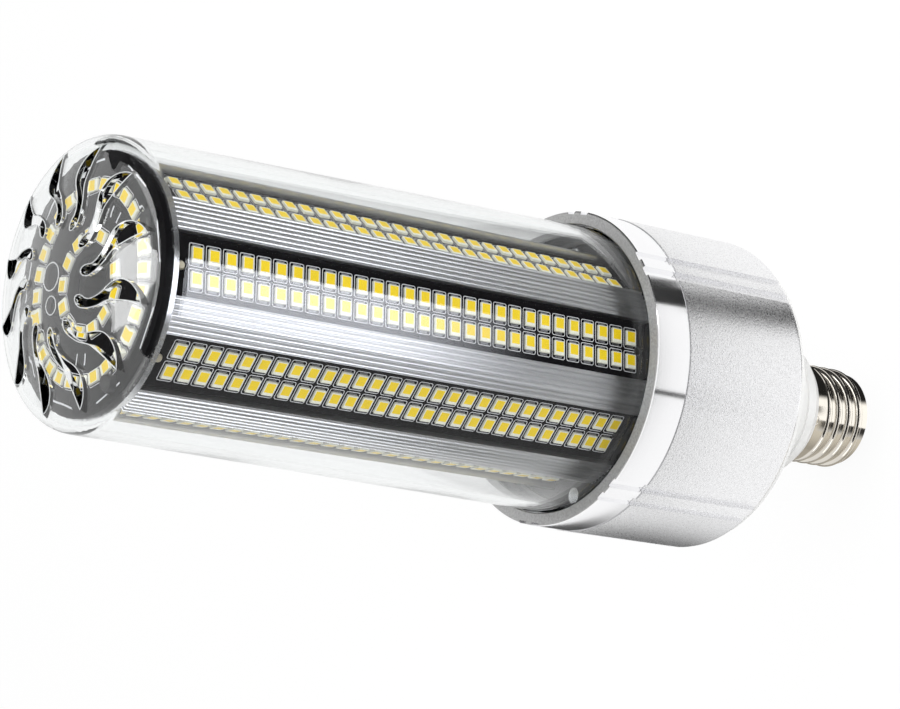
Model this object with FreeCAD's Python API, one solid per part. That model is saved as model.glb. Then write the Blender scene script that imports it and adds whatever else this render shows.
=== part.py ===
import FreeCAD, Part
import os
from math import asin, cos, degrees, pi, radians, sin, sqrt, tan

# LED corn bulb with an E26 screw base. The axis is Z, the base contact stands at z = 0 and the
# vented tip of the clear cover points up. Strip 7 of the eight LED strips faces -Y.
# All sizes are millimetres and all angles are degrees.

# LED strips on the column
strip_count = 8
leds_per_row = 29
led_pitch = 4.5
led_row_offset = 2.82
led_across = 3.5
led_along = 2.8
led_h = 0.7
led_tip_margin = 6.8
led_root_margin = 5.2
board_t = 1.4
board_end_gap = 0.3
rivet_from_end = 2.5
rivet_r = 1.1
rivet_stem_r = 0.65
rivet_crown_r = 0.8
rivet_head_h = 0.5

# Extruded column
column_r = 29.8
rail_w = 8.58
channel_drop = 4.2
channel_side_gap = 0.12
column_wall = 4.1
flutes_per_rail = 7
flute_depth = 0.45
column_fin_t = 1.6
column_fin_reach = 8.0
port_inset = 3.4
port_hole_r = 1.25
port_count = 4

# Tip: end plate, round LED board and its screws
end_plate_lip = 1.0
end_plate_t = 1.1
tip_board_step = 0.5
tip_board_t = 1.6
tip_hole_r = 7.0
outer_ring_leds = 28
ring_screw_gap = 0.05
outer_ring_start = -15.7
inner_ring_leds = 13
inner_ring_r = 11.0
inner_ring_start = -29.7
screw_head_r = 2.3
screw_head_h = 1.5
screw_crown = 0.8
screw_shank_r = 1.2
screw_hole_gap = 0.3
tip_screw_l = 10.0

# Clear cover
cover_gap = 1.4
cover_wall = 2.0
cover_taper = 1.8
cover_clearance = 0.2
cover_rim_gap = 0.1
hub_height = 10.8
dome_r = 88.0
shoulder_r = 6.5
slot_count = 12
slot_inner_r = 11.4
slot_outer_step = 3.4
slot_start = 9.9
# A vent slot from its sharp outer end, along the hollow side to its round inner end and back:
# share of the way out from the inner end, and swing about the axis from the outer end.
slot_outline = [(1.0, 0.0), (0.80, -0.4), (0.69, -1.2), (0.51, -3.8), (0.41, -8.4), (0.30, -13.0),
                (0.19, -17.4), (0.07, -19.0), (0.0, -13.8), (0.07, -8.4), (0.18, -8.6), (0.30, -5.0),
                (0.39, -0.5), (0.48, 4.8), (0.57, 8.4), (0.69, 9.6), (0.80, 8.3), (0.92, 4.7), (1.0, 0.0)]
bead_gap = 0.1
bead_w = 1.0
bead_h = 1.2

# Housing
rim_wall = 3.6
ledge_w = 1.2
housing_l = 48.3
ledge_from_rear = 39.5
rear_edge_r = 1.6
rear_edge_steps = 4
front_edge_c = 0.4
band_l = 10.3
band_cut = 0.15
channel_count = 8
channel_start = -13.7
plain_side = 6
channel_groove_w = 2.7
channel_groove_offset = 2.5
channel_depth = 1.0
boss_count = 4
boss_r = 3.4
boss_from_bore = 4.0

# Root plate between the column and the housing
plate_t = 2.5
plate_clearance = 0.2
plate_skin = 0.6
csk_head_r = 1.9
column_screw_l = 10.0
plate_screw_l = 10.0

# Cooling fan under the root plate
fan_gap = 1.1
fan_corner_r = 4.0
fan_rim = 1.3
fan_depth = 10.0
fan_hole_inset = 5.0
fan_hub_r = 11.0
fan_hub_wall = 0.9
fan_floor_t = 1.2
fan_spoke_w = 3.0
fan_spokes = 3
fan_spoke_start = 30.0
fan_blades = 7
fan_blade_t = 0.9
fan_blade_tilt = 34.0
fan_blade_bow = 1.0
fan_tip_gap = 0.9
fan_end_gap = 0.7
fan_shaft_r = 1.0
fan_running_gap = 0.05
fan_tube_wall = 1.4
magnet_t = 1.5
stator_gap = 1.2
fan_screw_bite = 1.5

# Driver in the housing
driver_board_gap = 0.8
driver_board_t = 1.6
driver_board_h = 9.0
post_r = 3.0
post_count = 3
post_start = 30.0
post_inset = 5.3
driver_screw_l = 8.0
transformer_size = (17.0, 15.0, 12.0)
transformer_bobbin = (11.0, 19.0, 9.0)
transformer_at = (-9.0, -4.0)
capacitor_r = 5.0
capacitor_h = 11.5
capacitor_at = [(5.5, 10.0), (5.5, -10.0)]
film_size = (12.0, 5.5, 9.5)
film_at = (-6.0, 13.5)
inductor_r = 5.5
inductor_hole_r = 2.2
inductor_h = 7.0
inductor_inset = 7.8

# Rear cover between the housing and the screw base
flange_step = 1.4
flange_t = 1.4
neck_h = 1.8
collar_h = 6.0
collar_r = 18.2
neck_step = 0.6
collar_end_r = 15.4
rear_wall = 2.2
spigot_gap = 0.3
spigot_h = 5.0
vent_count = 12
vent_w = 2.2
vent_inner_step = 4.4
vent_outer_step = 6.4
nose_h = 5.0
nose_gap = 0.1
nose_wall = 1.2
rear_screw_l = 10.0

# Screw base
thread_r = 13.05
thread_depth = 0.85
thread_pitch = 3.63
thread_run_out = 0.35
thread_ridge_w = 2.5
thread_start = 0.9
skirt_step = 0.05
skirt_h = 5.8
shell_wall = 0.45
shell_h = 21.2
insulator_h = 5.4
insulator_tip_r = 5.8
insulator_plug_h = 1.4
plug_gap = 0.1
lead_r = 0.8
lead_gap = 0.2
lead_touch = 0.05
neutral_head_r = 8.8
contact_r = 4.7
contact_face_r = 2.6
contact_edge_r = 4.2
contact_edge_h = 0.6
contact_h = 1.8

# Radii that follow one another from the column outwards
channel_floor = column_r - channel_drop
column_bore_r = channel_floor - column_wall
port_r = column_r - port_inset
end_plate_r = column_r + end_plate_lip
tip_board_r = end_plate_r - tip_board_step
cover_tip_r = end_plate_r + cover_gap + cover_wall
cover_root_r = cover_tip_r + cover_taper
mouth_r = cover_root_r + cover_clearance
housing_r = mouth_r + rim_wall
bore_r = mouth_r - ledge_w
boss_ring_r = bore_r - boss_from_bore
plate_r = mouth_r - plate_clearance
screw_hole_r = screw_shank_r + screw_hole_gap
flange_r = housing_r - flange_step
neck_r = collar_r - neck_step
skirt_r = thread_r + skirt_step

# Levels along the axis, from the contact up
z_insulator = contact_h
z_shell = z_insulator + insulator_h
z_collar = z_shell + shell_h
z_neck = z_collar + collar_h
z_cone = z_neck + neck_h
cone_h = flange_r - flange_t - neck_r
z_flange = z_cone + cone_h
z_rear = z_flange + flange_t
z_ledge = z_rear + ledge_from_rear
z_plate_top = z_ledge + plate_t
z_front = z_rear + housing_l
column_l = led_root_margin + (leds_per_row - 1) * led_pitch + led_tip_margin
z_column_top = z_plate_top + column_l
z_end_plate_top = z_column_top + end_plate_t
z_tip_board_top = z_end_plate_top + tip_board_t
z_hub = z_tip_board_top + hub_height

os.makedirs("parts", exist_ok=True)
origin = FreeCAD.Vector(0, 0, 0)
up = FreeCAD.Vector(0, 0, 1)


def at(radius, angle, z=0.0):
    """Point at a radius and an azimuth."""
    return FreeCAD.Vector(radius * cos(radians(angle)), radius * sin(radians(angle)), z)


def cylinder(radius, low, high, x=0.0, y=0.0):
    return Part.makeCylinder(radius, high - low, FreeCAD.Vector(x, y, low))


def tube(outer, inner, low, high, x=0.0, y=0.0):
    return cylinder(outer, low, high, x, y).cut(cylinder(inner, low - 1, high + 1, x, y))


def box(low, high):
    size = [b - a for a, b in zip(low, high)]
    return Part.makeBox(size[0], size[1], size[2], FreeCAD.Vector(*low))


def turned(points):
    """Solid turned about Z from a closed outline of (radius, z) corners."""
    corners = [FreeCAD.Vector(r, 0, z) for r, z in points]
    face = Part.Face(Part.makePolygon(corners + corners[:1]))
    return face.revolve(origin, up, 360)


def spun(shape, angle):
    copy = shape.copy()
    copy.rotate(origin, up, angle)
    return copy


def around(shape, count, start=0.0):
    """Copies of a shape evenly about the axis."""
    return [spun(shape, start + k * 360.0 / count) for k in range(count)]


def joined(shapes):
    first = shapes[0]
    return first.multiFuse(shapes[1:]) if len(shapes) > 1 else first


def save(name, shape):
    if isinstance(shape, list):
        shape = Part.makeCompound(shape)
    shape.exportStep("parts/" + name + ".step")


def countersunk(length, x, y, z, direction):
    """Countersunk screw whose flat head lies at z and whose shank points along direction (1 or -1)."""
    head_h = csk_head_r - screw_shank_r
    axis = FreeCAD.Vector(0, 0, direction)
    head = Part.makeCone(csk_head_r, screw_shank_r, head_h, FreeCAD.Vector(x, y, z), axis)
    start = FreeCAD.Vector(x, y, z + direction * head_h)
    return head.fuse(Part.makeCylinder(screw_shank_r, length - head_h, start, axis)).removeSplitter()


def pan_screw(length, x, y, z, direction):
    """Round-headed screw seated at z, its head on the side away from direction (1 or -1)."""
    axis = FreeCAD.Vector(0, 0, direction)
    seat = FreeCAD.Vector(x, y, z)
    top = FreeCAD.Vector(x, y, z - direction * screw_head_h)
    head = Part.makeCone(screw_head_r * screw_crown, screw_head_r, screw_head_h, top, axis)
    return head.fuse(Part.makeCylinder(screw_shank_r, length, seat, axis)).removeSplitter()


# The column's outline: a floor for each board, a rail's two sides, and flutes across the rail.
rail_angle = 2 * degrees(asin(rail_w / 2 / column_r))
corner_angle = (360.0 / strip_count - rail_angle) / 2
half_channel = column_r * sin(radians(corner_angle))
board_w = 2 * (half_channel - channel_side_gap)
port_start = 180.0 / strip_count
port_points = [at(port_r, port_start + k * 360.0 / port_count) for k in range(port_count)]
flute_angle = rail_angle / flutes_per_rail


def column_outline():
    edges = []
    for strip in range(strip_count):
        turn = strip * 360.0 / strip_count
        floor = [FreeCAD.Vector(channel_floor, side * half_channel, 0) for side in (-1, 1)]
        foot = [spun(Part.Vertex(point), turn).Point for point in floor]
        before = at(column_r, turn - corner_angle)
        after = at(column_r, turn + corner_angle)
        edges.append(Part.LineSegment(before, foot[0]).toShape())
        edges.append(Part.LineSegment(foot[0], foot[1]).toShape())
        edges.append(Part.LineSegment(foot[1], after).toShape())
        for flute in range(flutes_per_rail):
            a = turn + corner_angle + flute * flute_angle
            dip = at(column_r - flute_depth, a + flute_angle / 2)
            edges.append(Part.Arc(at(column_r, a), dip, at(column_r, a + flute_angle)).toShape())
    return Part.Wire(Part.__sortEdges__(edges))


def make_column():
    solid = Part.Face(column_outline()).extrude(FreeCAD.Vector(0, 0, column_l))
    solid.translate(FreeCAD.Vector(0, 0, z_plate_top))
    solid = solid.cut(cylinder(column_bore_r, z_plate_top - 1, z_column_top + 1))
    fin = box((column_bore_r - column_fin_reach, -column_fin_t / 2, z_plate_top),
              (column_bore_r + 1, column_fin_t / 2, z_column_top))
    solid = joined([solid] + around(fin, strip_count, 180.0 / strip_count))
    port = cylinder(port_hole_r, z_plate_top - 1, z_column_top + 1, port_r)
    ports = around(port, port_count, port_start)
    return solid.cut(Part.makeCompound(ports)).removeSplitter()


save("column", make_column())

# Eight flat LED boards in the column's channels, each with two rows of LEDs and a rivet at each end
board_low = z_plate_top + board_end_gap
board_high = z_column_top - board_end_gap
board_top = channel_floor + board_t
z_rivets = [board_low + rivet_from_end, board_high - rivet_from_end]
board = box((channel_floor, -board_w / 2, board_low), (board_top, board_w / 2, board_high))
for z in z_rivets:
    board = board.cut(Part.makeCylinder(rivet_stem_r, board_t + 2, FreeCAD.Vector(channel_floor - 1, 0, z),
                                        FreeCAD.Vector(1, 0, 0)))

leds = []
for row in (-1, 1):
    for n in range(leds_per_row):
        z = z_plate_top + led_root_margin + n * led_pitch
        leds.append(box((board_top, row * led_row_offset - led_across / 2, z - led_along / 2),
                        (board_top + led_h, row * led_row_offset + led_across / 2, z + led_along / 2)))
led_group = Part.makeCompound(leds)

rivets = []
for strip in range(strip_count):
    turn = strip * 360.0 / strip_count
    for z in z_rivets:
        stem_at = FreeCAD.Vector(channel_floor, 0, z)
        out = FreeCAD.Vector(1, 0, 0)
        stem = Part.makeCylinder(rivet_stem_r, board_t, stem_at, out)
        head = Part.makeCone(rivet_r, rivet_crown_r, rivet_head_h, FreeCAD.Vector(board_top, 0, z), out)
        rivets.append(spun(stem.fuse(head).removeSplitter(), turn))
    save("led_board_%d" % (strip + 1), spun(board, turn))
    save("led_row_%d" % (strip + 1), spun(led_group, turn))
save("board_rivets", rivets)

# Tip of the column: aluminium end plate, round black LED board with two rings of LEDs, four screws
tip_holes = [cylinder(screw_hole_r, z_column_top - 1, z_tip_board_top + 1, p.x, p.y) for p in port_points]
tip_holes.append(cylinder(tip_hole_r, z_column_top - 1, z_tip_board_top + 1))
tip_holes = Part.makeCompound(tip_holes)
save("end_plate", cylinder(end_plate_r, z_column_top, z_end_plate_top).cut(tip_holes))
save("tip_board", cylinder(tip_board_r, z_end_plate_top, z_tip_board_top).cut(tip_holes))

outer_ring_r = port_r - screw_head_r - led_across / 2 - ring_screw_gap
ring_led = box((-led_along / 2, -led_across / 2, z_tip_board_top),
               (led_along / 2, led_across / 2, z_tip_board_top + led_h))
ring_leds = []
for radius, count, start in ((outer_ring_r, outer_ring_leds, outer_ring_start),
                             (inner_ring_r, inner_ring_leds, inner_ring_start)):
    placed = ring_led.copy()
    placed.translate(FreeCAD.Vector(radius, 0, 0))
    ring_leds += around(placed, count, start)
save("tip_board_leds", ring_leds)
save("tip_screws", [pan_screw(tip_screw_l, p.x, p.y, z_tip_board_top, -1) for p in port_points])

# Clear cover: side wall with a little draft, round shoulder, shallow dome, twelve swirled vent slots
z_cover_rim = z_plate_top + cover_rim_gap


def cover_profile(inset):
    """Corners and arcs of the cover's half section, moved in by the inset, from the rim to the axis."""
    tip_r = cover_tip_r - inset
    root_r = cover_root_r - inset
    dome = dome_r - inset
    shoulder = shoulder_r - inset
    z_dome = z_hub - dome_r
    tip_angle = asin((tip_r - shoulder) / (dome - shoulder))
    z_shoulder = z_dome + (dome - shoulder) * cos(tip_angle)
    middle = (pi / 2 + tip_angle) / 2
    rim = FreeCAD.Vector(root_r, 0, z_cover_rim)
    wall_top = FreeCAD.Vector(tip_r, 0, z_shoulder)
    bend = FreeCAD.Vector(tip_r - shoulder + shoulder * sin(middle), 0, z_shoulder + shoulder * cos(middle))
    join = FreeCAD.Vector(dome * sin(tip_angle), 0, z_dome + dome * cos(tip_angle))
    half = FreeCAD.Vector(dome * sin(tip_angle / 2), 0, z_dome + dome * cos(tip_angle / 2))
    crown = FreeCAD.Vector(0, 0, z_dome + dome)
    wall = Part.LineSegment(rim, wall_top).toShape()
    round_edge = Part.Arc(wall_top, bend, join).toShape()
    face_edge = Part.Arc(join, half, crown).toShape()
    return [wall, round_edge, face_edge], rim, crown


def make_cover():
    outer, outer_rim, outer_crown = cover_profile(0.0)
    inner, inner_rim, inner_crown = cover_profile(cover_wall)
    closing = [Part.LineSegment(outer_rim, inner_rim).toShape(),
               Part.LineSegment(outer_crown, inner_crown).toShape()]
    wire = Part.Wire(Part.__sortEdges__(outer + inner + closing))
    shell = Part.Face(wire).revolve(origin, up, 360)
    slot_outer_r = cover_tip_r - slot_outer_step
    points = [at(slot_inner_r + share * (slot_outer_r - slot_inner_r), swing, z_hub - 2 * hub_height)
              for share, swing in slot_outline]
    curve = Part.BSplineCurve()
    curve.interpolate(points)
    slot = Part.Face(Part.Wire(curve.toShape())).extrude(FreeCAD.Vector(0, 0, 3 * hub_height))
    return shell.cut(Part.makeCompound(around(slot, slot_count, slot_start)))


cover_inner_root_r = cover_root_r - cover_wall
save("cover", make_cover())
bead_r = cover_inner_root_r - bead_gap
save("cover_bead", tube(bead_r, bead_r - bead_w, z_plate_top, z_plate_top + bead_h))

# Root plate: closes the housing's mouth, carries the column and the fan
fan_side = 2 * ((bore_r - fan_gap - fan_corner_r) / sqrt(2) + fan_corner_r)
fan_hole_at = fan_side / 2 - fan_hole_inset
boss_points = [at(boss_ring_r, k * 360.0 / boss_count) for k in range(boss_count)]
plate = tube(plate_r, column_bore_r, z_ledge, z_plate_top)
plate_cuts = []
for p in port_points:
    plate_cuts.append(countersunk(plate_t + 1, p.x, p.y, z_ledge, 1))
for p in boss_points:
    plate_cuts.append(countersunk(plate_t + 1, p.x, p.y, z_plate_top, -1))
for sx in (-1, 1):
    for sy in (-1, 1):
        plate_cuts.append(cylinder(screw_shank_r, z_ledge - 1, z_plate_top - plate_skin,
                                   sx * fan_hole_at, sy * fan_hole_at))
save("root_plate", plate.cut(Part.makeCompound(plate_cuts)))
save("column_screws", [countersunk(column_screw_l, p.x, p.y, z_ledge, 1) for p in port_points])
save("plate_screws", [countersunk(plate_screw_l, p.x, p.y, z_plate_top, -1) for p in boss_points])


# Housing: one aluminium extrusion with outside channels and inside screw bosses, turned at its ends
def make_housing():
    z_band = z_front - band_l
    outside = [(housing_r - rear_edge_r, z_rear)]
    for step in range(1, rear_edge_steps + 1):
        turn = step * pi / 2 / rear_edge_steps
        outside.append((housing_r - rear_edge_r * (1 - sin(turn)), z_rear + rear_edge_r * (1 - cos(turn))))
    band_r = housing_r - band_cut
    outside += [(housing_r, z_band), (band_r, z_band), (band_r, z_front - front_edge_c),
                (band_r - front_edge_c, z_front)]
    inside = [(mouth_r + front_edge_c, z_front), (mouth_r, z_front - front_edge_c), (mouth_r, z_ledge),
              (bore_r, z_ledge), (bore_r, z_rear)]
    body = turned(outside + inside)
    boss = cylinder(boss_r, z_rear, z_ledge, boss_ring_r)
    web = box((boss_ring_r, -boss_r, z_rear), (bore_r + ledge_w / 2, boss_r, z_ledge))
    boss = boss.fuse(web).cut(cylinder(port_hole_r, z_rear - 1, z_ledge + 1, boss_ring_r))
    body = joined([body] + around(boss, boss_count))
    grooves = []
    sides = [k for k in range(channel_count) if k != plain_side]
    for k in sides:
        angle = channel_start + k * 360.0 / channel_count
        for side in (-1, 1):
            y = side * channel_groove_offset
            groove = box((housing_r - channel_depth, y - channel_groove_w / 2, z_rear - 1),
                         (housing_r + 1, y + channel_groove_w / 2, z_front + 1))
            grooves.append(spun(groove, angle))
    return body.cut(Part.makeCompound(grooves)).removeSplitter()


save("housing", make_housing())

# Cooling fan: square frame with spokes and a bearing tube, stator, and a rotor with hub and blades
z_fan_top = z_ledge
z_fan = z_fan_top - fan_depth
fan_bore_r = fan_side / 2 - fan_rim
tube_bore_r = fan_shaft_r + fan_running_gap
tube_r = tube_bore_r + fan_tube_wall
z_floor_top = z_fan + fan_floor_t
z_cup_top = z_fan_top - fan_end_gap
z_cup_under = z_cup_top - fan_hub_wall
z_rotor_low = z_floor_top + fan_end_gap
z_tube_top = z_cup_under - fan_end_gap


def make_fan_frame():
    half = fan_side / 2
    frame = box((-half, -half, z_fan), (half, half, z_fan_top))
    upright = [e for e in frame.Edges if abs(e.Vertexes[0].Z - e.Vertexes[1].Z) > fan_depth / 2]
    frame = frame.makeFillet(fan_corner_r, upright)
    frame = frame.cut(cylinder(fan_bore_r, z_fan - 1, z_fan_top + 1))
    for sx in (-1, 1):
        for sy in (-1, 1):
            frame = frame.cut(cylinder(screw_hole_r, z_fan - 1, z_fan_top + 1,
                                       sx * fan_hole_at, sy * fan_hole_at))
    spoke = box((tube_r, -fan_spoke_w / 2, z_fan), (fan_bore_r + fan_rim / 2, fan_spoke_w / 2, z_floor_top))
    parts = [frame, cylinder(fan_hub_r, z_fan, z_floor_top), cylinder(tube_r, z_fan, z_tube_top)]
    frame = joined(parts + around(spoke, fan_spokes, fan_spoke_start))
    return frame.cut(cylinder(tube_bore_r, z_floor_top, z_cup_top)).removeSplitter()


def make_fan_blade():
    """One blade: a bowed strip set across the air path and trimmed between the hub and its tip."""
    rise = (z_cup_top - z_rotor_low) / 2
    run = rise / tan(radians(fan_blade_tilt))
    z_middle = (z_cup_top + z_rotor_low) / 2
    reach = fan_bore_r - fan_tip_gap
    root = fan_hub_r - fan_hub_wall / 2
    low = FreeCAD.Vector(0, -run, z_middle - rise)
    mid = FreeCAD.Vector(0, -fan_blade_bow, z_middle + fan_blade_bow)
    high = FreeCAD.Vector(0, run, z_middle + rise)
    thick = FreeCAD.Vector(0, fan_blade_t / sin(radians(fan_blade_tilt)), 0)
    edges = [Part.Arc(low, mid, high).toShape(), Part.LineSegment(high, high + thick).toShape(),
             Part.Arc(high + thick, mid + thick, low + thick).toShape(),
             Part.LineSegment(low + thick, low).toShape()]
    blade = Part.Face(Part.Wire(edges)).extrude(FreeCAD.Vector(fan_bore_r, 0, 0))
    return blade.common(tube(reach, root, z_rotor_low, z_cup_top))


def make_fan_rotor():
    cup = cylinder(fan_hub_r, z_rotor_low, z_cup_top)
    cup = cup.cut(cylinder(fan_hub_r - fan_hub_wall, z_rotor_low - 1, z_cup_under))
    shaft = cylinder(fan_shaft_r, z_floor_top, z_cup_under + fan_hub_wall / 2)
    return joined([cup, shaft] + around(make_fan_blade(), fan_blades)).removeSplitter()


save("fan_frame", make_fan_frame())
save("fan_rotor", make_fan_rotor())
magnet_r = fan_hub_r - fan_hub_wall
save("fan_magnet", tube(magnet_r, magnet_r - magnet_t, z_rotor_low, z_cup_under))
stator_r = magnet_r - magnet_t - stator_gap
save("fan_stator", tube(stator_r, tube_r, z_floor_top, z_tube_top))
fan_screws = []
for sx in (-1, 1):
    for sy in (-1, 1):
        fan_screws.append(pan_screw(fan_depth + fan_screw_bite, sx * fan_hole_at, sy * fan_hole_at, z_fan, 1))
save("fan_screws", fan_screws)


# Rear cover: white moulded cone with a spigot in the housing, vents, posts for the driver board,
# and the collar and nose that carry the screw shell
shell_inner_r = skirt_r - shell_wall
nose_r = shell_inner_r - nose_gap
spigot_r = bore_r - spigot_gap
z_board = z_rear + driver_board_h
z_nose = z_collar - nose_h
driver_board_r = boss_ring_r - boss_r - driver_board_gap
post_ring_r = driver_board_r - post_inset
post_points = [at(post_ring_r, post_start + k * 360.0 / post_count) for k in range(post_count)]


def make_rear_cover():
    cone_step = rear_wall / sqrt(2)
    outside = [(nose_r, z_nose), (nose_r, z_collar), (collar_end_r, z_collar),
               (collar_r - neck_step, z_neck - collar_h / 2), (collar_r, z_neck), (neck_r, z_neck),
               (neck_r, z_cone), (flange_r - flange_t, z_flange), (flange_r, z_flange), (flange_r, z_rear)]
    bore = nose_r - nose_wall
    spigot_inner = spigot_r - rear_wall
    inside = [(spigot_r, z_rear), (spigot_r, z_rear + spigot_h), (spigot_inner, z_rear + spigot_h),
              (spigot_inner, z_flange + cone_step), (neck_r - rear_wall, z_cone + cone_step),
              (neck_r - rear_wall, z_collar + rear_wall), (bore, z_collar + rear_wall), (bore, z_nose)]
    body = turned(outside + inside)
    envelope = turned(outside + [(0, z_rear), (0, z_nose)])
    clearance = boss_r + spigot_gap
    relief = box((spigot_inner - 1, -clearance, z_rear), (bore_r, clearance, z_rear + spigot_h + 1))
    cuts = around(relief, boss_count)
    vent = box((neck_r + vent_inner_step, -vent_w / 2, z_cone - 1),
               (flange_r - vent_outer_step, vent_w / 2, z_rear + 1))
    vents = [spun(vent, (k + 0.5) * 360.0 / vent_count) for k in range(vent_count)]
    body = body.cut(Part.makeCompound(cuts)).cut(Part.makeCompound(vents))
    posts = []
    for p in post_points:
        post = cylinder(post_r, z_cone, z_rear, p.x, p.y).common(envelope)
        posts.append(post.fuse(cylinder(post_r, z_rear, z_board, p.x, p.y)))
    body = joined([body] + posts)
    z_blind = z_board - driver_screw_l - 1
    seat_r = screw_head_r + screw_hole_gap
    holes = [cylinder(screw_shank_r, z_blind, z_board + 1, p.x, p.y) for p in post_points]
    holes += [cylinder(screw_hole_r, z_cone, z_rear + 1, p.x, p.y) for p in boss_points]
    seats = [cylinder(seat_r, z_cone, z_flange, p.x, p.y) for p in boss_points]
    return body.cut(Part.makeCompound(holes)).cut(Part.makeCompound(seats)).removeSplitter()


save("rear_cover", make_rear_cover())
save("rear_screws", [pan_screw(rear_screw_l, p.x, p.y, z_flange, 1) for p in boss_points])

# Driver board on the posts, with its parts on top and three screws
z_parts = z_board + driver_board_t
board_holes = [cylinder(screw_hole_r, z_board - 1, z_parts + 1, p.x, p.y) for p in post_points]
driver_board = cylinder(driver_board_r, z_board, z_parts).cut(Part.makeCompound(board_holes))
save("driver_board", driver_board)
save("driver_screws", [pan_screw(driver_screw_l, p.x, p.y, z_parts, -1) for p in post_points])


def block(size, place, low):
    return box((place[0] - size[0] / 2, place[1] - size[1] / 2, low),
               (place[0] + size[0] / 2, place[1] + size[1] / 2, low + size[2]))


core = block(transformer_size, transformer_at, z_parts)
bobbin = block(transformer_bobbin, transformer_at, z_parts)
save("driver_transformer", core.fuse(bobbin).removeSplitter())
save("driver_capacitors", [cylinder(capacitor_r, z_parts, z_parts + capacitor_h, x, y)
                           for x, y in capacitor_at])
save("driver_film_capacitor", block(film_size, film_at, z_parts))
save("driver_inductor", tube(inductor_r, inductor_hole_r, z_parts, z_parts + inductor_h,
                             driver_board_r - inductor_inset))

# Screw base: rolled shell with its helical thread, glass insulator, centre contact and two leads
thread_root_r = thread_r - thread_depth
shell_bore_r = thread_root_r - shell_wall
z_skirt = z_collar - skirt_h


def make_screw_shell():
    low = z_shell + thread_start
    height = z_skirt - thread_run_out - low
    helix = Part.makeHelix(thread_pitch, height, thread_root_r)
    helix.translate(FreeCAD.Vector(0, 0, low))
    base = thread_root_r - shell_wall / 2
    foot = FreeCAD.Vector(base, 0, low - thread_ridge_w / 2)
    crest = FreeCAD.Vector(thread_r, 0, low)
    head = FreeCAD.Vector(base, 0, low + thread_ridge_w / 2)
    profile = Part.Wire([Part.Arc(foot, crest, head).toShape(), Part.LineSegment(head, foot).toShape()])
    ridge = Part.Wire(helix.Edges).makePipeShell([profile], True, True)
    ridge = ridge.common(cylinder(thread_r + 1, z_shell, z_collar))
    roll = thread_depth / 2
    wall = turned([(shell_bore_r - roll, z_shell), (thread_root_r - roll, z_shell),
                   (thread_root_r, z_shell + roll), (thread_root_r, z_skirt), (skirt_r, z_skirt + roll),
                   (skirt_r, z_collar), (shell_inner_r, z_collar), (shell_inner_r, z_skirt + roll),
                   (shell_bore_r, z_skirt), (shell_bore_r, z_shell + roll)])
    return wall.fuse(ridge).removeSplitter()


save("screw_shell", make_screw_shell())
rolled_edge = thread_depth / 2
plug_r = shell_bore_r - rolled_edge - plug_gap
hole_r = lead_r + lead_gap
z_plug = z_shell + insulator_plug_h
insulator = turned([(hole_r, z_insulator), (insulator_tip_r, z_insulator),
                    (thread_root_r - rolled_edge, z_shell),
                    (plug_r, z_shell), (plug_r, z_plug), (hole_r, z_plug)])
save("base_insulator", insulator)
contact = turned([(0, 0), (contact_face_r, 0), (contact_edge_r, contact_edge_h),
                  (contact_r, 2 * contact_edge_h), (contact_r, contact_h), (0, contact_h)])
save("centre_contact", contact)
save("live_lead", cylinder(lead_r, z_insulator, z_board))
neutral_foot = FreeCAD.Vector(0, shell_bore_r - lead_r - lead_touch, z_plug + lead_r)
neutral_head = FreeCAD.Vector(0, neutral_head_r, z_board - lead_touch)
neutral_run = neutral_head - neutral_foot
save("neutral_lead", Part.makeCylinder(lead_r, neutral_run.Length, neutral_foot, neutral_run))

print("length", round(z_hub, 2), "housing diameter", round(2 * housing_r, 2), "fan side", round(fan_side, 2))
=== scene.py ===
import math

import bmesh
import bpy
from mathutils import Matrix, Vector


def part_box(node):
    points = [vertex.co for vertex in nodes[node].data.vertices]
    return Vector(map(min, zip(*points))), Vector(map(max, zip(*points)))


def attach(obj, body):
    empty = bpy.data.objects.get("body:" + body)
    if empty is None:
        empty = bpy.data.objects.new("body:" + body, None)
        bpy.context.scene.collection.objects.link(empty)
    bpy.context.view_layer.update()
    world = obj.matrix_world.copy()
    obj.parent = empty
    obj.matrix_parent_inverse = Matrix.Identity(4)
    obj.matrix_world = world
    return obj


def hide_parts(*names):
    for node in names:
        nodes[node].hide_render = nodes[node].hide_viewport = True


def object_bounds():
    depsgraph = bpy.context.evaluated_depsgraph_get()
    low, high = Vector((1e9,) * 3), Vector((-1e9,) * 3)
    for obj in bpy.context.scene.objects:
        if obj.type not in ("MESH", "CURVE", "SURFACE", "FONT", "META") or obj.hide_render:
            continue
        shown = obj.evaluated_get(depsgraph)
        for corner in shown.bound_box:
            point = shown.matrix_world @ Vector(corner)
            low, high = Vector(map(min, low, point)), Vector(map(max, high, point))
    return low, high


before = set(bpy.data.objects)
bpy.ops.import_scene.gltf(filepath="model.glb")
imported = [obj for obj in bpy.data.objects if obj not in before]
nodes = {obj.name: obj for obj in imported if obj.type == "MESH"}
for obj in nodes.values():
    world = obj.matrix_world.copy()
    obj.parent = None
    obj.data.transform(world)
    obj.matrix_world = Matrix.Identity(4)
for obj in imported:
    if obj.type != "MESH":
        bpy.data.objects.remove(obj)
cad_low, cad_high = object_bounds()
centre = (cad_low + cad_high) / 2

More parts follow.
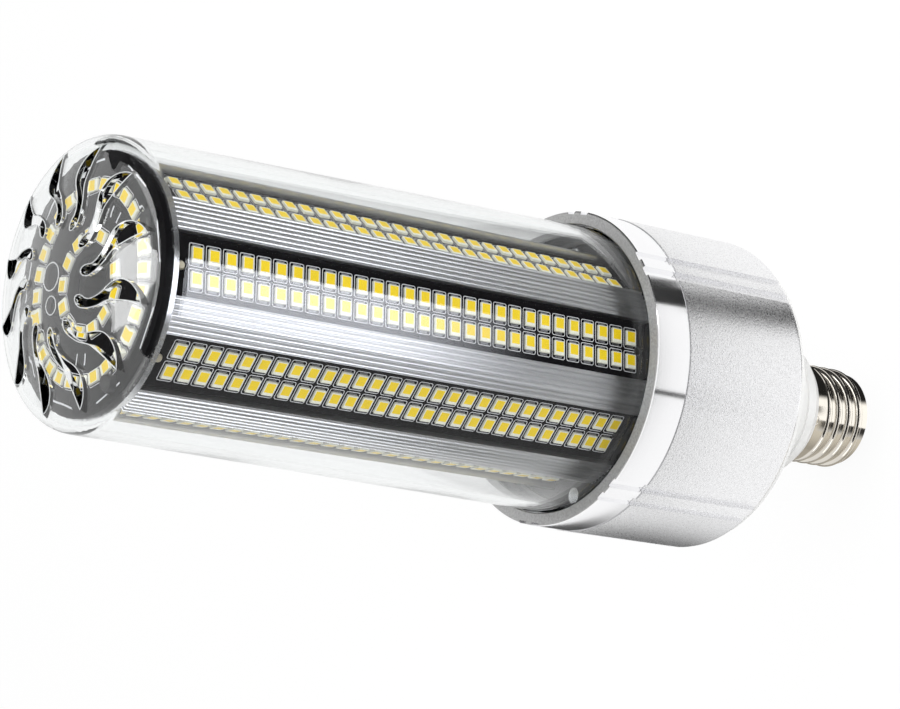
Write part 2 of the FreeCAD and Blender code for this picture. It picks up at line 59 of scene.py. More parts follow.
# Camera: a long lens in front of the tip and to one side, rolled so that the bulb lies across the
# picture with its vented tip at the upper left and its screw base at the right.
camera_at = Vector((-0.1758, -0.6143, 0.6130))
sight = Vector((0.2192, 0.7717, -0.5970)).normalized()
picture_right = sight.cross(Vector((0.9756, -0.1668, 0.1427))).normalized()
picture_up = picture_right.cross(sight)
camera = bpy.data.objects.new("camera", bpy.data.cameras.new("camera"))
bpy.context.scene.collection.objects.link(camera)
camera.data.sensor_width = 36.0
camera.data.lens = 130.9
camera.data.clip_start = 0.02
facing = Matrix((picture_right, picture_up, -sight)).transposed()
camera.matrix_world = Matrix.Translation(camera_at) @ facing.to_4x4()
bpy.context.scene.camera = camera
bpy.context.scene.view_settings.view_transform = "Standard"


# Softboxes: large lamps round the bulb, placed by how far they stand to the picture's right, above
# it and towards the camera. The front one lights the bulb and isn't mirrored in it.
def studio_point(right, above_centre, towards):
    return centre + picture_right * right + picture_up * above_centre - sight * towards


def softbox(name, place, width, height, watts):
    lamp = bpy.data.objects.new(name, bpy.data.lights.new(name, "AREA"))
    bpy.context.scene.collection.objects.link(lamp)
    lamp.data.shape = "RECTANGLE"
    lamp.data.size = width
    lamp.data.size_y = height
    lamp.data.energy = watts
    lamp.location = place
    lamp.rotation_mode = "QUATERNION"
    lamp.rotation_quaternion = (centre - place).to_track_quat("-Z", "Y")
    return lamp


softbox("softbox_above", studio_point(-0.25, 1.0, 0.35), 1.3, 0.9, 7.0)
softbox("softbox_tip_side", studio_point(-0.9, 0.15, 0.7), 0.9, 0.9, 3.5)
softbox("softbox_below", studio_point(0.3, -0.95, 0.5), 1.2, 0.6, 2.5)
softbox("softbox_front", studio_point(0.1, 0.1, 1.3), 0.9, 0.9, 9.0).visible_glossy = False


# Cards: sheets that only polished metal and clear plastic mirror. Most lie on the floor, because a
# camera above the bulb sees the floor in its upright walls, and each height mirrors its own ring.
def set_down(name, shape):
    """Makes an object of a shape, with its place in its mesh, and lets the shape go."""
    piece = bpy.data.objects.new(name, bpy.data.meshes.new(name))
    bpy.context.scene.collection.objects.link(piece)
    shape.to_mesh(piece.data)
    shape.free()
    return piece


def show_mix(tree, output, share, first, second):
    """Shows the second shader where the share is one, and the first where it is nought."""
    blend = tree.nodes.new("ShaderNodeMixShader")
    tree.links.new(share, blend.inputs["Fac"])
    tree.links.new(first.outputs[0], blend.inputs[1])
    tree.links.new(second.outputs[0], blend.inputs[2])
    tree.links.new(blend.outputs[0], tree.nodes[output].inputs["Surface"])


def distance_or_angle(tree, round_the_axis):
    """How far a spot lies from the axis, or at which angle round it."""
    place = tree.nodes.new("ShaderNodeTexCoord")
    if not round_the_axis:
        reach = tree.nodes.new("ShaderNodeVectorMath")
        reach.operation = "LENGTH"
        tree.links.new(place.outputs["Object"], reach.inputs[0])
        return reach.outputs["Value"]
    apart = tree.nodes.new("ShaderNodeSeparateXYZ")
    round_angle = tree.nodes.new("ShaderNodeMath")
    round_angle.operation = "ARCTAN2"
    tree.links.new(place.outputs["Object"], apart.inputs[0])
    tree.links.new(apart.outputs["Y"], round_angle.inputs[0])
    tree.links.new(apart.outputs["X"], round_angle.inputs[1])
    return round_angle.outputs[0]


def card(name, sheet, brightness, fade=None, round_fade=False, from_brightness=0.03,
         colour=(1, 1, 1, 1)):
    """A sheet that only polished metal and clear plastic mirror, black or lit. Its light may fade in
    from one distance off the axis to another, or from one angle round the axis to another."""
    paint = bpy.data.materials.new(name)
    paint.use_nodes = True
    tree = paint.node_tree
    tree.nodes.remove(tree.nodes["Principled BSDF"])
    lit = tree.nodes.new("ShaderNodeEmission")
    lit.inputs["Color"].default_value = colour
    lit.inputs["Strength"].default_value = brightness
    unseen = tree.nodes.new("ShaderNodeBsdfTransparent")
    path = tree.nodes.new("ShaderNodeLightPath")
    once_mirrored = tree.nodes.new("ShaderNodeMath")
    once_mirrored.operation = "GREATER_THAN"
    once_mirrored.inputs[1].default_value = 0.5
    tree.links.new(path.outputs["Glossy Depth"], once_mirrored.inputs[0])
    show_mix(tree, "Material Output", once_mirrored.outputs[0], unseen, lit)
    if fade:
        rise = tree.nodes.new("ShaderNodeMapRange")
        rise.interpolation_type = "SMOOTHSTEP"
        rise.inputs["From Min"].default_value = math.radians(fade[0]) if round_fade else fade[0]
        rise.inputs["From Max"].default_value = math.radians(fade[1]) if round_fade else fade[1]
        rise.inputs["To Min"].default_value = from_brightness
        rise.inputs["To Max"].default_value = brightness
        tree.links.new(distance_or_angle(tree, round_fade), rise.inputs["Value"])
        tree.links.new(rise.outputs[0], lit.inputs["Strength"])
    piece = set_down(name, sheet)
    piece.data.materials.append(paint)
    piece.visible_camera = False
    piece.visible_diffuse = False
    piece.visible_shadow = False


def swept_sheet(start, end, first_angle, last_angle):
    """A line from start to end, swept about the bulb's axis between two angles in degrees."""
    sheet = bmesh.new()
    line = [sheet.verts.new(start), sheet.verts.new(end)]
    bmesh.ops.rotate(sheet, cent=(0, 0, 0), matrix=Matrix.Rotation(math.radians(first_angle), 3, "Z"),
                     verts=line)
    edge = sheet.edges.new(line)
    bmesh.ops.spin(sheet, geom=[edge, *line], axis=(0, 0, 1), cent=(0, 0, 0),
                   angle=math.radians(last_angle - first_angle), steps=32)
    return sheet


def floor_card(name, near, far, first_angle, last_angle, brightness, level=0.0004, **fading):
    """A card on the floor, from one distance off the axis to another and between two angles."""
    sheet = swept_sheet((near, 0, level), (far, 0, level), first_angle, last_angle)
    card(name, sheet, brightness, **fading)


shell_from = 0.014
skirt_from = 0.039
shell_to = 0.053
housing_from = 0.055
band_from = 0.143
cover_from = 0.166
cover_to = 0.9
under_the_rest = 0.0001
over_the_rest = 0.0006
warm_white = (1.0, 0.95, 0.85, 1)
cool_white = (0.96, 0.975, 1.05, 1)

floor_card("card_rail_above", cover_from, cover_to, -48, 15, 0.2, level=under_the_rest)
floor_card("card_strip_in_front", cover_from, cover_to, -118, -48, 0.04, level=under_the_rest)
floor_card("card_strip_below", cover_from, cover_to, -190, -118, 0.22, level=under_the_rest)
floor_card("card_cover_softbox", 0.18, 0.47, -117.7, -75.0, 4.2, fade=(0.215, 0.315),
           from_brightness=0.04, colour=cool_white)
overhead = bmesh.new()
bmesh.ops.create_grid(overhead, x_segments=1, y_segments=1, size=0.5)
bmesh.ops.scale(overhead, vec=(0.22, 0.83, 1), verts=overhead.verts)
bmesh.ops.translate(overhead, vec=(0.08, -0.125, 0.8), verts=overhead.verts)
card("card_tip_softbox", overhead, 6.0)
floor_card("card_housing_stripe", housing_from, band_from, -55, -37, 0.03)
floor_card("card_band_stripe", band_from, cover_from, -51.5, -33.5, 0.03)
floor_card("card_band_line", 0.14, cover_from, -110.4, -107.4, 0.04)
floor_card("card_housing_foot", housing_from, band_from, 88, 176, 0.85, fade=(120, 174),
           round_fade=True, from_brightness=0.08)
floor_card("card_shell_above", shell_from, shell_to, -76, 25, 0.02, fade=(-74, -62),
           round_fade=True, from_brightness=1.45)
floor_card("card_shell_middle", shell_from, shell_to, -112, -76, 1.45)
floor_card("card_shell_below", shell_from, shell_to, -179, -134, 0.8, fade=(-178, -136),
           round_fade=True, from_brightness=0.45, colour=warm_white)
floor_card("card_shell_dark", shell_from, skirt_from, -134, -113, 0.05, fade=(-134, -121),
           round_fade=True, from_brightness=0.75)
floor_card("card_skirt_below", skirt_from, shell_to, -134, -113, 0.9, colour=warm_white)
floor_card("card_skirt_patch", skirt_from, shell_to, -104, -86, 0.3, level=over_the_rest,
           fade=(-103, -94), round_fade=True, from_brightness=1.2)
floor_card("card_shell_foot", shell_from, shell_to, -262, -179, 0.5, colour=warm_white)
horizon = 0.8
card("card_horizon_right", swept_sheet((horizon, 0, -0.05), (horizon, 0, 0.8), -60, 45), 0.03)
card("card_horizon_front", swept_sheet((horizon, 0, 0.02), (horizon, 0, 0.75), -150, -60), 0.03)


# Room: even white light from all round, dim where it lights the bulb, and pure white where the
# camera sees the room, straight, mirrored or through the clear cover.
def ray_is(tree, *kinds):
    """One for a ray of any of these kinds, and nought for the others."""
    path = tree.nodes.new("ShaderNodeLightPath")
    found = path.outputs[kinds[0]]
    for kind in kinds[1:]:
        either = tree.nodes.new("ShaderNodeMath")
        either.operation = "MAXIMUM"
        tree.links.new(found, either.inputs[0])
        tree.links.new(path.outputs[kind], either.inputs[1])
        found = either.outputs[0]
    return found


seen_rays = ("Is Camera Ray", "Is Glossy Ray", "Is Transmission Ray")
room = bpy.data.worlds.new("studio")
bpy.context.scene.world = room
room.use_nodes = True
room_light = room.node_tree.nodes["Background"]
room_light.inputs["Color"].default_value = (1, 1, 1, 1)
room_light.inputs["Strength"].default_value = 0.35
seen_white = room.node_tree.nodes.new("ShaderNodeBackground")
seen_white.inputs["Color"].default_value = (1, 1, 1, 1)
seen_white.inputs["Strength"].default_value = 1.0
show_mix(room.node_tree, "World Output", ray_is(room.node_tree, *seen_rays), room_light, seen_white)

# Floor: a plain pale studio floor under the contact, mostly lit from within so that it stays near
# white, and still taking a soft shadow.
floor_half_width = 60.0
floor_below_contact = 0.0002
floor_shape = bmesh.new()
bmesh.ops.create_grid(floor_shape, x_segments=1, y_segments=1, size=floor_half_width)
bmesh.ops.translate(floor_shape, vec=(0, 0, cad_low.z - floor_below_contact),
                    verts=floor_shape.verts)
floor = set_down("studio_floor", floor_shape)
floor_paint = bpy.data.materials.new("studio_floor")
floor_paint.use_nodes = True
tree = floor_paint.node_tree
paper = tree.nodes["Principled BSDF"]
paper.inputs["Base Color"].default_value = (0.86, 0.86, 0.86, 1)
paper.inputs["Roughness"].default_value = 0.8
paper.inputs["Specular IOR Level"].default_value = 0.03
glow = tree.nodes.new("ShaderNodeEmission")
glow.inputs["Color"].default_value = (1, 1, 1, 1)
glow.inputs["Strength"].default_value = 1.03
glow_share = tree.nodes.new("ShaderNodeMath")
glow_share.operation = "MULTIPLY"
glow_share.inputs[1].default_value = 0.9
tree.links.new(ray_is(tree, *seen_rays), glow_share.inputs[0])
show_mix(tree, "Material Output", glow_share.outputs[0], paper, glow)
floor.data.materials.append(floor_paint)


# Housing: an aluminium extrusion, blasted all over, with a bright band turned at its mouth and a fine
# grey line painted under the band as the shade of its turned step. The grain is even on the body and
# runs in rings round the band. The sawn front is duller.
def tint_between(tree, pattern, dark, light):
    """A colour that follows a pattern from dark to light."""
    tint = tree.nodes.new("ShaderNodeMix")
    tint.data_type = "RGBA"
    tint.inputs["A"].default_value = (*dark, 1)
    tint.inputs["B"].default_value = (*light, 1)
    tree.links.new(pattern, tint.inputs["Factor"])
    return tint.outputs["Result"]


def value_between(tree, pattern, low, high):
    """A value that follows a pattern from low to high."""
    spread = tree.nodes.new("ShaderNodeMapRange")
    spread.inputs["To Min"].default_value = low
    spread.inputs["To Max"].default_value = high
    tree.links.new(pattern, spread.inputs["Value"])
    return spread.outputs[0]


def made_surface(name, colour, metal, gloss_range, grain, relief, stretch=(1, 1, 1), shade=0.85,
                 sparkle=None):
    """A made surface is never quite even, so it has a grain in its colour, its gloss and its relief.
    The grain stretches along the way that the piece was drawn, moulded or rolled, and a sparkle
    sharpens it in the colour."""
    surface = bpy.data.materials.new(name)
    surface.use_nodes = True
    tree = surface.node_tree
    shader = tree.nodes["Principled BSDF"]
    shader.inputs["Metallic"].default_value = metal
    place = tree.nodes.new("ShaderNodeTexCoord")
    drawn = tree.nodes.new("ShaderNodeMapping")
    drawn.inputs["Scale"].default_value = stretch
    specks = tree.nodes.new("ShaderNodeTexNoise")
    specks.name = "grain"
    specks.inputs["Scale"].default_value = grain
    specks.inputs["Detail"].default_value = 4.0
    height = tree.nodes.new("ShaderNodeBump")
    height.inputs["Distance"].default_value = relief
    height.inputs["Strength"].default_value = 1.0
    tree.links.new(place.outputs["Object"], drawn.inputs["Vector"])
    tree.links.new(drawn.outputs[0], specks.inputs["Vector"])
    pattern = specks.outputs["Fac"]
    gloss = value_between(tree, pattern, *gloss_range)
    tree.links.new(gloss, shader.inputs["Roughness"])
    tree.links.new(pattern, height.inputs["Height"])
    tree.links.new(height.outputs[0], shader.inputs["Normal"])
    if sparkle:
        sharper = tree.nodes.new("ShaderNodeMapRange")
        sharper.inputs["From Min"].default_value = sparkle[0]
        sharper.inputs["From Max"].default_value = sparkle[1]
        tree.links.new(pattern, sharper.inputs["Value"])
        pattern = sharper.outputs[0]
    tint = tint_between(tree, pattern, [channel * shade for channel in colour], colour)
    tree.links.new(tint, shader.inputs["Base Color"])
    return surface


def coat(surface, *names):
    for name in names:
        nodes[name].data.materials.clear()
        nodes[name].data.materials.append(surface)


def above(tree, level):
    """One where the surface lies above a level along the bulb, and nought below it."""
    place = tree.nodes.new("ShaderNodeTexCoord")
    apart = tree.nodes.new("ShaderNodeSeparateXYZ")
    reached = tree.nodes.new("ShaderNodeMath")
    reached.operation = "GREATER_THAN"
    reached.inputs[1].default_value = level
    tree.links.new(place.outputs["Object"], apart.inputs[0])
    tree.links.new(apart.outputs["Z"], reached.inputs[0])
    return reached.outputs[0]


def step_in(tree, share, socket, value):
    """Puts another value, or another node's result, on a linked socket where the share is one."""
    choice = tree.nodes.new("ShaderNodeMix")
    if socket.type == "RGBA":
        choice.data_type = "RGBA"
    tree.links.new(share, choice.inputs["Factor"])
    tree.links.new(socket.links[0].from_socket, choice.inputs["A"])
    if isinstance(value, bpy.types.NodeSocket):
        tree.links.new(value, choice.inputs["B"])
    else:
        choice.inputs["B"].default_value = value
    tree.links.new(choice.outputs["Result"], socket)


housing_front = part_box("housing")[1].z
band_foot = housing_front - 0.0103
step_shade_width = 0.00022
front_depth = 0.0002
# Painted shade: a fine grey line just under the band stands for the shade at the band's turned step.
painted_step_shade = (0.50, 0.50, 0.51, 1)
band_silver = (0.95, 0.95, 0.96, 1)
sawn_dark = (0.16, 0.16, 0.16)
sawn_light = (0.68, 0.68, 0.68)
blasted = made_surface("blasted_aluminium", (0.96, 0.96, 0.97), 1.0, (0.22, 0.34), 2300, 0.00005,
                       shade=0.84, sparkle=(0.33, 0.56))
tree = blasted.node_tree
shader = tree.nodes["Principled BSDF"]
relief_height = tree.nodes["Bump"].inputs["Height"]
grain_pattern = tree.nodes["grain"].outputs["Fac"]
place = tree.nodes.new("ShaderNodeTexCoord")
ring_grain = tree.nodes.new("ShaderNodeMapping")
ring_grain.inputs["Scale"].default_value = (20, 20, 9000)
turned_lines = tree.nodes.new("ShaderNodeTexNoise")
turned_lines.inputs["Scale"].default_value = 1.0
tree.links.new(place.outputs["Object"], ring_grain.inputs["Vector"])
tree.links.new(ring_grain.outputs[0], turned_lines.inputs["Vector"])
in_painted_step_shade = above(tree, band_foot - step_shade_width)
in_band = above(tree, band_foot)
at_front = above(tree, housing_front - front_depth)
band_gloss = value_between(tree, turned_lines.outputs["Fac"], 0.07, 0.15)
front_gloss = value_between(tree, grain_pattern, 0.5, 0.65)
front_tint = tint_between(tree, grain_pattern, sawn_dark, sawn_light)
step_in(tree, in_band, relief_height, 0.5)
step_in(tree, in_band, shader.inputs["Roughness"], band_gloss)
# Painted shade: grey colour on the thin strip under the band.
step_in(tree, in_painted_step_shade, shader.inputs["Base Color"], painted_step_shade)
step_in(tree, in_band, shader.inputs["Base Color"], band_silver)
step_in(tree, at_front, shader.inputs["Roughness"], front_gloss)
step_in(tree, at_front, shader.inputs["Base Color"], front_tint)
coat(blasted, "housing")

# Rear cover: white moulded plastic, a cone with vents and the collar that grips the screw shell.
# The mould leaves a fine even texture.
white_plastic = made_surface("white_moulded", (0.87, 0.87, 0.86), 0.0, (0.3, 0.42), 900, 0.00002,
                             shade=0.95)
coat(white_plastic, "rear_cover")

# Screw shell: thin rolled brass sheet, nickel plated, bright all over with faint handling marks. Its
# plain skirt is punched into the collar at six crimps.
nickel = made_surface("bright_nickel", (0.76, 0.72, 0.65), 1.0, (0.08, 0.15), 220, 0.00001,
                      shade=0.88)
coat(nickel, "screw_shell")
shell_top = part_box("screw_shell")[1].z
skirt_radius = 0.0131
crimp_below_top = 0.0022
crimp_count = 6
first_crimp = -51
crimp_profile = ((0.00125, -0.0002), (0.0010, 0.00007), (0.0008, 0.00009), (0.0006, -0.00012),
                 (0.0002, -0.0002))
crimp_middle = 0.0003
for mark in range(crimp_count):
    crimp = bmesh.new()
    profile = [crimp.verts.new((radius, 0, height)) for radius, height in crimp_profile]
    line = [crimp.edges.new(pair) for pair in zip(profile, profile[1:])]
    bmesh.ops.spin(crimp, geom=line + profile, axis=(0, 0, 1), cent=(0, 0, 0),
                   angle=math.radians(360), steps=20, use_merge=True)
    inner_edge = [edge for edge in crimp.edges if edge.is_boundary
                  and all(vert.co.xy.length < crimp_middle for vert in edge.verts)]
    bmesh.ops.contextual_create(crimp, geom=inner_edge)
    bmesh.ops.recalc_face_normals(crimp, faces=crimp.faces)
    bmesh.ops.scale(crimp, vec=(0.75, 1.3, 1), verts=crimp.verts)
    angle = math.radians(first_crimp - mark * 360 / crimp_count)
    bmesh.ops.transform(crimp, verts=crimp.verts,
                        matrix=Matrix.Rotation(angle, 4, "Z")
                        @ Matrix.Translation((skirt_radius, 0, shell_top - crimp_below_top))
                        @ Matrix.Rotation(math.radians(90), 4, "Y"))
    for face in crimp.faces:
        face.smooth = True
    punched = set_down("shell_crimp_%d" % (mark + 1), crimp)
    punched.data.materials.append(nickel)
    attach(punched, "bulb")

# Insulator and contact: a pressed ring of black glass that keeps the shell and the contact apart,
# and the soft, dull solder blob in its middle that closes the live lead's hole.
black_glass = made_surface("pressed_black_glass", (0.02, 0.016, 0.02), 0.0, (0.06, 0.14), 120,
                           0.00002)
coat(black_glass, "base_insulator")
solder = made_surface("dull_solder", (0.66, 0.66, 0.65), 1.0, (0.25, 0.45), 420, 0.00006)
coat(solder, "centre_contact")

# Fastenings: zinc plated steel screws hold the column, the root plate, the fan, the rear cover and
# the driver board.
zinc = made_surface("zinc_plate", (0.68, 0.69, 0.70), 1.0, (0.2, 0.34), 700, 0.00001)
coat(zinc, "column_screws", "plate_screws", "fan_screws", "rear_screws", "driver_screws")

# Driver: a green board with a taped transformer, sleeved capacitors, a film capacitor and a wound
# ring, fed by two silicone covered leads.
green_mask = made_surface("green_solder_mask", (0.03, 0.16, 0.07), 0.0, (0.25, 0.4), 160, 0.00001)
coat(green_mask, "driver_board")
tape = made_surface("yellow_tape", (0.80, 0.62, 0.10), 0.0, (0.3, 0.5), 90, 0.00003,
                    stretch=(1, 1, 6))
coat(tape, "driver_transformer", "driver_film_capacitor")
sleeve = made_surface("dark_sleeve", (0.02, 0.02, 0.04), 0.0, (0.2, 0.32), 300, 0.00001)
coat(sleeve, "driver_capacitors")
winding = made_surface("copper_winding", (0.72, 0.34, 0.16), 1.0, (0.25, 0.4), 60, 0.0001,
                       stretch=(1, 1, 9))
coat(winding, "driver_inductor", "fan_stator")
silicone_red = made_surface("lead_silicone", (0.6, 0.03, 0.02), 0.0, (0.35, 0.5), 500, 0.00001)
coat(silicone_red, "live_lead", "neutral_lead")

# Fan and root plate: black glass-filled plastic with a slightly rough mould finish, and the dark
# ferrite ring inside the rotor.
black_plastic = made_surface("black_moulded", (0.022, 0.022, 0.024), 0.0, (0.35, 0.55), 800,
                             0.00003)
coat(black_plastic, "fan_frame", "fan_rotor", "root_plate")
ferrite = made_surface("ferrite", (0.06, 0.06, 0.065), 0.0, (0.5, 0.7), 600, 0.00003)
coat(ferrite, "fan_magnet")

# Column: an aluminium extrusion drawn through a die, so that every fine line runs its full length.
# The end plate is sheet of the same metal, under four black screws.
column_metal = made_surface("drawn_aluminium", (0.93, 0.93, 0.94), 1.0, (0.24, 0.38), 900, 0.00004,
                            stretch=(1, 1, 0.004), shade=0.66)
coat(column_metal, "column")
plate_metal = made_surface("sheet_aluminium", (0.82, 0.82, 0.83), 1.0, (0.2, 0.32), 500, 0.00001)
coat(plate_metal, "end_plate")
black_oxide = made_surface("black_oxide_screw", (0.03, 0.03, 0.032), 1.0, (0.3, 0.42), 700, 0.00001)
coat(black_oxide, "tip_screws")

# LED boards: aluminium-cored boards under a black solder mask, flat in the column's channels. The
# rivets that hold them are passivated at the tip end and blackened at the root.
strip_count = 8
black_mask = made_surface("black_solder_mask", (0.005, 0.0045, 0.0055), 0.0, (0.2, 0.3), 240,
                          0.000006)
black_mask.node_tree.nodes["Principled BSDF"].inputs["Specular IOR Level"].default_value = 0.03
coat(black_mask, *["led_board_%d" % (strip + 1) for strip in range(strip_count)], "tip_board")
between_rivets = 0.17
passivated = (0.74, 0.68, 0.53, 1)
rivet_metal = made_surface("passivated_rivet", (0.03, 0.03, 0.03), 1.0, (0.4, 0.55), 900, 0.00001)
tree = rivet_metal.node_tree
step_in(tree, above(tree, between_rivets), tree.nodes["Principled BSDF"].inputs["Base Color"],
        passivated)
coat(rivet_metal, "board_rivets")

# LED packages: each is a cream moulded frame round a yellow phosphor window, soldered on two tinned
# pads inside a printed white outline. One is made here and repeated along the boards.
led_low, led_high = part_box("led_row_1")
board_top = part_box("led_board_1")[1].x
led_pitch = 0.0045
led_across = 0.0035
led_along = 0.0028
led_height = led_high.x - board_top
row_offset = led_high.y - led_across / 2
leds_in_row = 29
frame_edge = 0.00012
frame_width = 0.00016
frame_wide_side = 0.0006
window_depth = 0.00005
pad_high = 0.00006
pad_across = 0.0005
pad_along = 0.0021
pad_offset = led_across / 2 + 0.00026
print_high = 0.00004
outline_width = 0.00018
outline_corner = 0.0005


def one_led(outline_across, outline_along):
    """One LED on its board: x points out of the board, y is across the strip and z along it."""
    led = bmesh.new()
    body = bmesh.ops.create_cube(led, size=1.0)["verts"]
    bmesh.ops.scale(led, vec=(led_height, led_across, led_along), verts=body)
    bmesh.ops.translate(led, vec=(led_height / 2, 0, 0), verts=body)
    top = max(led.faces, key=lambda face: face.calc_center_median().x)
    bmesh.ops.bevel(led, geom=list(top.edges), offset=frame_edge, segments=1, affect="EDGES",
                    profile=0.5, material=-1)
    top = max(led.faces, key=lambda face: face.calc_center_median().x)
    bmesh.ops.inset_region(led, faces=[top], thickness=frame_width)
    bmesh.ops.translate(led, vec=(-window_depth, 0, 0), verts=list(top.verts))
    bmesh.ops.translate(led, vec=(0, frame_wide_side, 0),
                        verts=[vert for vert in top.verts if vert.co.y < 0])
    top.material_index = 1
    for side in (-1, 1):
        pad = bmesh.ops.create_cube(led, size=1.0)["verts"]
        bmesh.ops.scale(led, vec=(pad_high, pad_across, pad_along), verts=pad)
        bmesh.ops.translate(led, vec=(pad_high / 2, side * pad_offset, 0), verts=pad)
        for face in {face for vert in pad for face in vert.link_faces}:
            face.material_index = 2
    corners = bmesh.ops.create_grid(led, x_segments=1, y_segments=1, size=0.5,
                                    matrix=Matrix.Rotation(math.radians(90), 4, "Y"))["verts"]
    bmesh.ops.scale(led, vec=(1, outline_across, outline_along), verts=corners)
    bmesh.ops.translate(led, vec=(print_high, 0, 0), verts=corners)
    bmesh.ops.bevel(led, geom=corners, offset=outline_corner, segments=2, affect="VERTICES",
                    profile=0.5, material=-1)
    low_faces = [face for face in led.faces if face.calc_center_median().x < pad_high]
    printed = max(low_faces, key=lambda face: face.calc_area())
    outline = bmesh.ops.inset_region(led, faces=[printed], thickness=outline_width,
                                     use_boundary=True)["faces"]
    for face in outline:
        face.material_index = 3
    bmesh.ops.delete(led, geom=[printed], context="FACES_ONLY")
    mesh = bpy.data.meshes.new("one_led")
    led.to_mesh(mesh)
    led.free()
    return mesh


frame_cream = made_surface("led_cream_frame", (0.86, 0.85, 0.73), 0.0, (0.3, 0.45), 900, 0.00001,
                           shade=0.92)
phosphor = made_surface("led_phosphor", (1.0, 0.71, 0.004), 0.0, (0.35, 0.5), 130, 0.000004,
                        shade=0.84)
tinned = made_surface("tinned_pad", (0.30, 0.30, 0.32), 1.0, (0.3, 0.45), 900, 0.00001)
print_white = made_surface("board_print", (0.74, 0.74, 0.77), 0.0, (0.4, 0.5), 1500, 0.000002)
led_finishes = (frame_cream, phosphor, tinned, print_white)


def led_piece(name, node, single, places):
    """Copies of one LED at the given places, as one piece that stands for the node's LEDs."""
    group = bmesh.new()
    for place in places:
        before = len(group.verts)
        group.from_mesh(single)
        group.verts.ensure_lookup_table()
        bmesh.ops.transform(group, matrix=place, verts=group.verts[before:])
    piece = set_down(name, group)
    for surface in led_finishes:
        piece.data.materials.append(surface)
    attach(piece, "bulb")
    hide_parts(node)


strip_led = one_led(outline_across=0.0052, outline_along=0.004)
row_start = led_low.z + led_along / 2
for strip in range(strip_count):
    around = Matrix.Rotation(math.radians(strip * 360 / strip_count), 4, "Z")
    places = [around @ Matrix.Translation((board_top, row * row_offset, row_start + step * led_pitch))
              for row in (-1, 1) for step in range(leds_in_row)]
    led_piece("strip_leds_%d" % (strip + 1), "led_row_%d" % (strip + 1), strip_led, places)

# Tip board: a round black board on the end plate, with one ring of LEDs near its edge and one round
# its middle. The rings are packed closer, so the printed outlines are narrower.
tip_board_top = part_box("tip_board")[1].z
outer_ring = {"radius": 0.0223, "count": 28, "start": -15.7}
inner_ring = {"radius": 0.011, "count": 13, "start": -29.7}
ring_led = one_led(outline_across=0.0046, outline_along=0.0038)
stand_up = Matrix.Rotation(math.radians(-90), 4, "Y")
ring_places = []
for ring in (outer_ring, inner_ring):
    for step in range(ring["count"]):
        angle = math.radians(ring["start"] + step * 360 / ring["count"])
        ring_places.append(Matrix.Rotation(angle, 4, "Z")
                           @ Matrix.Translation((ring["radius"], 0, tip_board_top)) @ stand_up)
led_piece("tip_leds", "tip_board_leds", ring_led, ring_places)

# Board print: nine straight strokes near the edge of the tip board and short marks between its two
# rings of LEDs, printed in the same white as the outlines.
stroke_count = 9
stroke_radius = 0.0276
stroke_size = (0.00045, 0.0096, 1)
first_stroke = -41.0
mark_radius = 0.0172
mark_size = (0.0027, 0.0005, 1)
mark_angles = (-42, -31, 166, 178)
print_places = [(stroke_radius, first_stroke + step * 360 / stroke_count, stroke_size)
                for step in range(stroke_count)]
print_places += [(mark_radius, angle, mark_size) for angle in mark_angles]
strokes = bmesh.new()
for radius, angle, size in print_places:
    corners = bmesh.ops.create_grid(strokes, x_segments=1, y_segments=1, size=0.5)["verts"]
    bmesh.ops.scale(strokes, vec=size, verts=corners)
    bmesh.ops.transform(strokes, verts=corners, matrix=Matrix.Rotation(math.radians(angle), 4, "Z")
                        @ Matrix.Translation((radius, 0, tip_board_top + print_high)))
board_strokes = set_down("tip_board_strokes", strokes)
board_strokes.data.materials.append(print_white)
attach(board_strokes, "bulb")

# Clear cover: one moulding in clear polycarbonate with a 2 mm wall. It is a merged copy of the
# model's own shape, so that its walls shade as one smooth surface and the cut slots keep their edge.
weld_distance = 0.000002
crisp_edge = math.radians(28)
moulding = bmesh.new()
moulding.from_mesh(nodes["cover"].data)
bmesh.ops.remove_doubles(moulding, verts=moulding.verts, dist=weld_distance)
for edge in moulding.edges:
    edge.smooth = edge.is_manifold and edge.calc_face_angle(0) < crisp_edge
for face in moulding.faces:
    face.smooth = True
clear_cover = set_down("clear_cover", moulding)
if "custom_normal" in clear_cover.data.attributes:
    clear_cover.data.attributes.remove(clear_cover.data.attributes["custom_normal"])

clear_plastic = bpy.data.materials.new("clear_polycarbonate")
clear_plastic.use_nodes = True
tree = clear_plastic.node_tree
tree.nodes.remove(tree.nodes["Principled BSDF"])
solid = tree.nodes.new("ShaderNodeBsdfGlass")
solid.inputs["Color"].default_value = (0.985, 0.99, 0.99, 1)
solid.inputs["Roughness"].default_value = 0.0
solid.inputs["IOR"].default_value = 1.58
open_way = tree.nodes.new("ShaderNodeBsdfTransparent")
open_way.inputs["Color"].default_value = (0.97, 0.98, 0.98, 1)
place = tree.nodes.new("ShaderNodeTexCoord")
ripple = tree.nodes.new("ShaderNodeTexNoise")
ripple.inputs["Scale"].default_value = 30.0
ripple.inputs["Detail"].default_value = 0.0
swell = tree.nodes.new("ShaderNodeBump")
swell.inputs["Distance"].default_value = 0.0001
tree.links.new(place.outputs["Object"], ripple.inputs["Vector"])
tree.links.new(ripple.outputs["Fac"], swell.inputs["Height"])
tree.links.new(swell.outputs[0], solid.inputs["Normal"])
show_mix(tree, "Material Output", ray_is(tree, "Is Shadow Ray", "Is Diffuse Ray"), solid, open_way)
clear_cover.data.materials.append(clear_plastic)
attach(clear_cover, "bulb")
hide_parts("cover")
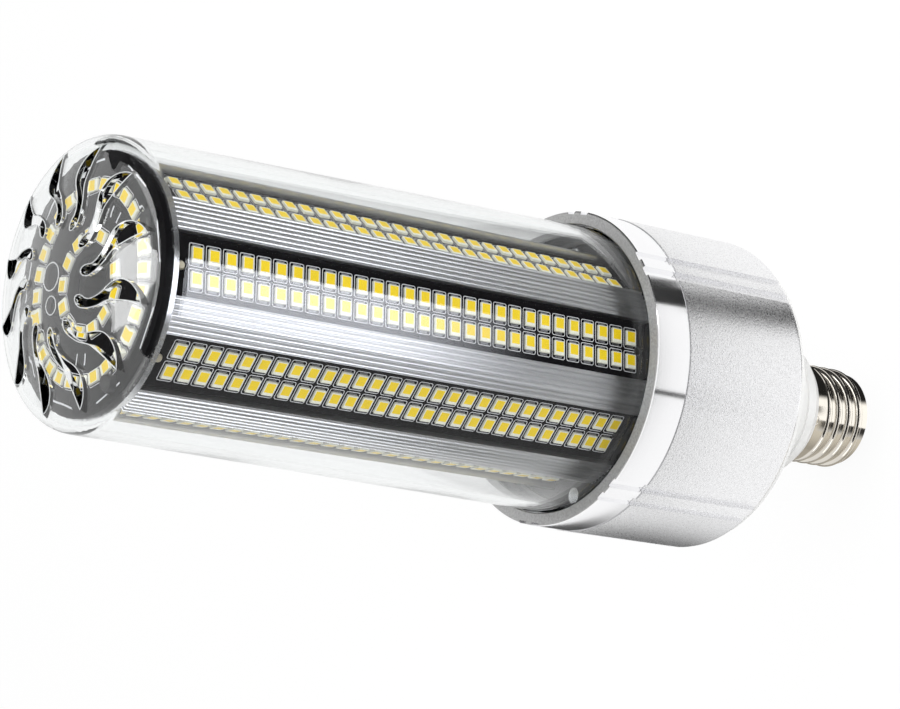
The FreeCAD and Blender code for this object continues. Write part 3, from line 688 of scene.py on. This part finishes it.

# Slot rims: thin beads laid round every slot on the dome's outer face, in a pale half-opaque paint, a
# painted highlight that shows as a thin bright line round every slot.
dome_radius = 0.088
dome_centre = Vector((0, 0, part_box("cover")[1].z - dome_radius))
outer_skin = dome_radius - 0.0003
slot_reach = 0.0312
highlight_bead_radius = 0.00013
slotted = bmesh.new()
slotted.from_mesh(clear_cover.data)
rims = bmesh.new()
rim_point = {}
for edge in slotted.edges:
    outside = all((vert.co - dome_centre).length > outer_skin for vert in edge.verts)
    if edge.smooth or not outside or any(vert.co.xy.length > slot_reach for vert in edge.verts):
        continue
    for vert in edge.verts:
        if vert.index not in rim_point:
            rim_point[vert.index] = rims.verts.new(vert.co)
    rims.edges.new([rim_point[vert.index] for vert in edge.verts])
slotted.free()
slot_rims = set_down("slot_rims", rims)
bpy.ops.object.select_all(action="DESELECT")
bpy.context.view_layer.objects.active = slot_rims
slot_rims.select_set(True)
bpy.ops.object.convert(target="CURVE")
slot_rims.data.bevel_depth = highlight_bead_radius
slot_rims.data.bevel_resolution = 1
bpy.ops.object.convert(target="MESH")
# Painted highlight: the rim paint is pale and half opaque, so the beads show as bright lines.
painted_highlight_rim = made_surface("painted_highlight_rim", (0.86, 0.88, 0.89), 0.0, (0.03, 0.08), 300, 0.000002,
                         shade=0.97)
painted_highlight_rim.node_tree.nodes["Principled BSDF"].inputs["Alpha"].default_value = 0.55
slot_rims.data.materials.append(painted_highlight_rim)
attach(slot_rims, "bulb")


# Gate marks: the moulding's feed leaves a raised ring on the crown of the dome, and an ejector pin a
# smaller one beside it. They take the slot rims' pale half-opaque paint, a painted highlight.
def moulded_ring(name, radius, bead, off_crown):
    """A ring on the dome, its bead sunk a little, at a distance from the crown."""
    raised_share = 0.7
    ring = bmesh.new()
    bmesh.ops.create_circle(ring, segments=8, radius=bead, matrix=Matrix.Translation((radius, 0, 0))
                            @ Matrix.Rotation(math.radians(90), 4, "X"))
    bmesh.ops.spin(ring, geom=list(ring.edges), axis=(0, 0, 1), cent=(0, 0, 0),
                   angle=math.radians(360), steps=40, use_merge=True)
    bmesh.ops.recalc_face_normals(ring, faces=ring.faces)
    seat = math.sqrt(dome_radius ** 2 - radius ** 2) - bead * raised_share
    tilt = math.asin(off_crown / dome_radius)
    bmesh.ops.transform(ring, verts=ring.verts, matrix=Matrix.Translation(dome_centre)
                        @ Matrix.Rotation(math.radians(180), 4, "Z")
                        @ Matrix.Rotation(tilt, 4, "Y") @ Matrix.Translation((0, 0, seat)))
    for face in ring.faces:
        face.smooth = True
    raised = set_down(name, ring)
    # Painted highlight: the ring wears the slot rims' pale paint instead of clear plastic.
    raised.data.materials.append(painted_highlight_rim)
    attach(raised, "bulb")


moulded_ring("gate_ring", radius=0.0032, bead=0.00018, off_crown=0.0)
moulded_ring("ejector_ring", radius=0.0021, bead=0.00015, off_crown=0.0066)

# Bead: a ring of grey silicone on the root plate, between the cover's root and the column. It is laid
# wet and sets to a soft, dull skin.
silicone_grey = made_surface("grey_silicone", (0.11, 0.11, 0.115), 0.0, (0.4, 0.55), 500, 0.00002)
coat(silicone_grey, "cover_bead")
